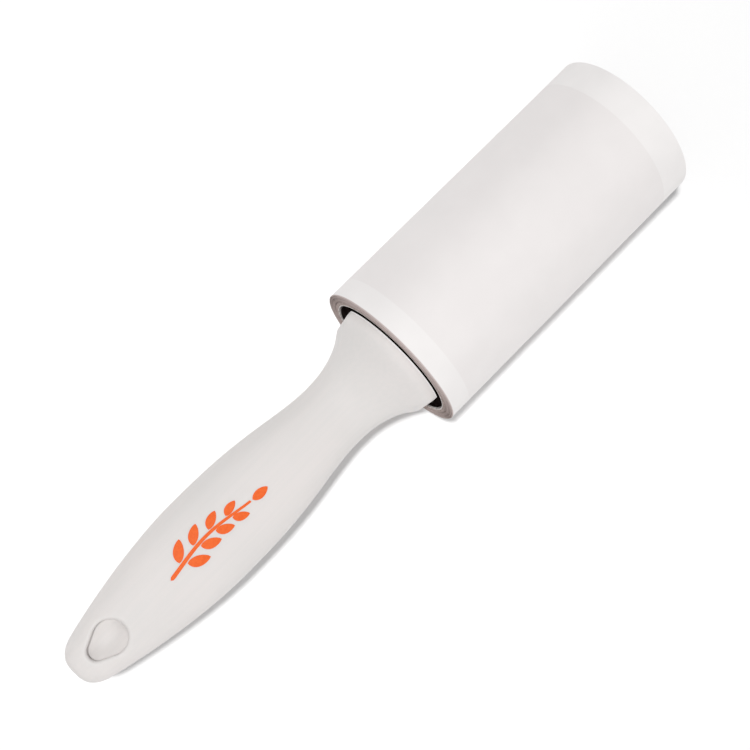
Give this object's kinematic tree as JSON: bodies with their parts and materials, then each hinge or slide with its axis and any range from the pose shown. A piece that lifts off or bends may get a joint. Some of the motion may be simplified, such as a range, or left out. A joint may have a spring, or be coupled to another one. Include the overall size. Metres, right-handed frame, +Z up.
{
  "type": "lint roller",
  "caption": "Lint roller: a hollow paddle handle with a hanging hole, a drum that spins on an axle, and a slide-off refill of adhesive paper sheets on a cardboard core.",
  "frame": {"origin": "on the surface that the roll lies on, below the middle of the whole object's bounding box", "axes": "+X along the axle, from the handle's tail to the free end of the roll; +Y across the handle; +Z up, out of the handle's wide upper face"},
  "size_m": [0.227, 0.0496, 0.0497],
  "materials": {
    "handle_shell": "satin moulded plastic, off-white",
    "axle_plastic": "moulded plastic, mid grey",
    "zinc_steel": "zinc-plated steel",
    "drum_plastic": "moulded plastic, near black",
    "white_core_board": "smooth white board, spiral wound",
    "brown_core_board": "brown board, spiral wound",
    "adhesive_sheet": "white paper with a satin adhesive face and two dry margins"
  },
  "bodies": {
    "handle": {"handle_top_shell": "handle_shell", "handle_bottom_shell": "handle_shell", "axle": "axle_plastic", "retaining_washer": "zinc_steel", "retaining_screw": "zinc_steel"},
    "drum": {"drum_tube": "drum_plastic", "drum_front_cap": "drum_plastic", "drum_rear_cap": "drum_plastic"},
    "refill": {"core_inner_ply": "white_core_board", "core_outer_ply": "brown_core_board", "sheet_01": "adhesive_sheet", "sheet_02": "adhesive_sheet", "sheet_03": "adhesive_sheet", "sheet_04": "adhesive_sheet", "sheet_05": "adhesive_sheet", "sheet_06": "adhesive_sheet", "sheet_07": "adhesive_sheet", "sheet_08": "adhesive_sheet", "sheet_09": "adhesive_sheet", "sheet_10": "adhesive_sheet", "sheet_11": "adhesive_sheet", "sheet_12": "adhesive_sheet", "sheet_13": "adhesive_sheet", "sheet_14": "adhesive_sheet", "sheet_15": "adhesive_sheet", "sheet_16": "adhesive_sheet", "sheet_17": "adhesive_sheet", "sheet_18": "adhesive_sheet", "sheet_19": "adhesive_sheet", "sheet_20": "adhesive_sheet", "sheet_21": "adhesive_sheet", "sheet_22": "adhesive_sheet", "sheet_23": "adhesive_sheet", "sheet_24": "adhesive_sheet", "sheet_25": "adhesive_sheet", "sheet_26": "adhesive_sheet", "sheet_27": "adhesive_sheet", "sheet_28": "adhesive_sheet", "sheet_29": "adhesive_sheet", "sheet_30": "adhesive_sheet"}
  },
  "joints": [
    {"name": "drum_spin", "type": "hinge", "parent": "handle", "child": "drum", "pos_m": [0.02, 0, 0.02485], "axis": [1, 0, 0], "continuous": true},
    {"name": "refill_slide", "type": "slide", "parent": "drum", "child": "refill", "axis": [1, 0, 0], "range_m": [0, 0.11]}
  ]
}
